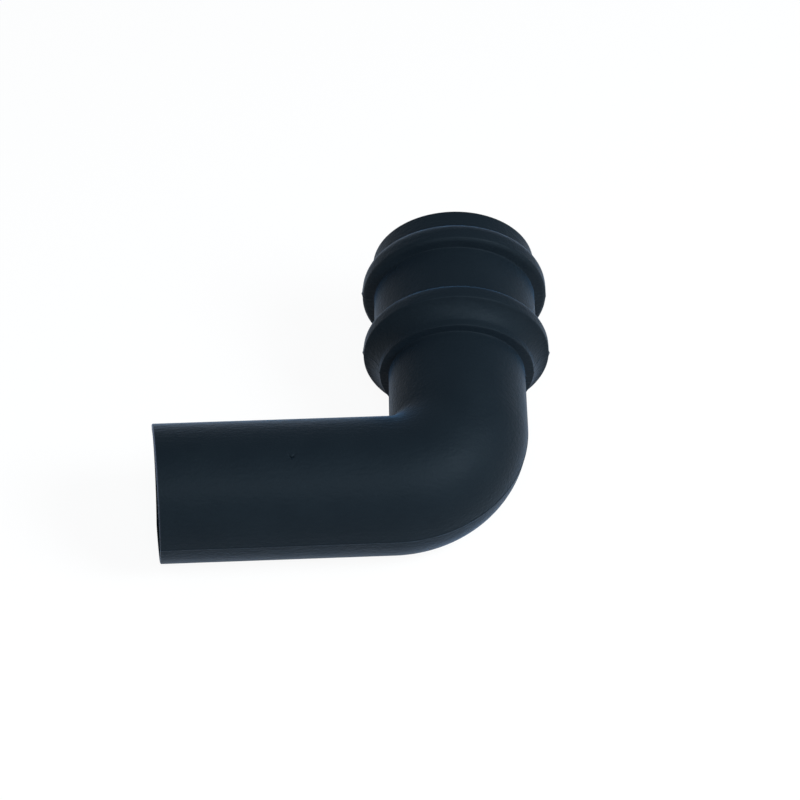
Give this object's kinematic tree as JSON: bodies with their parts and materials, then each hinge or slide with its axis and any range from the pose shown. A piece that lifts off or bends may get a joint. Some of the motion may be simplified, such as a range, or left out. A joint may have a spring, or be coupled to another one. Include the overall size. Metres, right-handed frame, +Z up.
{
  "type": "downpipe bend",
  "caption": "Round rainwater downpipe bend of about a right angle, in black plastic, with a plain spigot and a beaded socket.",
  "frame": {"origin": "middle of the bounding box's underside, on the surface that the bend lies on", "axes": "+Z up from the surface; -X along the spigot and out of its end; +Y on the side that the socket points to, with its mouth raised by the lean of the bend at rest"},
  "size_m": [0.2014, 0.1792, 0.0995],
  "materials": {
    "body": "black plastic with a fine cast grain and a soft sheen"
  },
  "bodies": {
    "root": {"downpipe_bend": "body"}
  },
  "joints": []
}
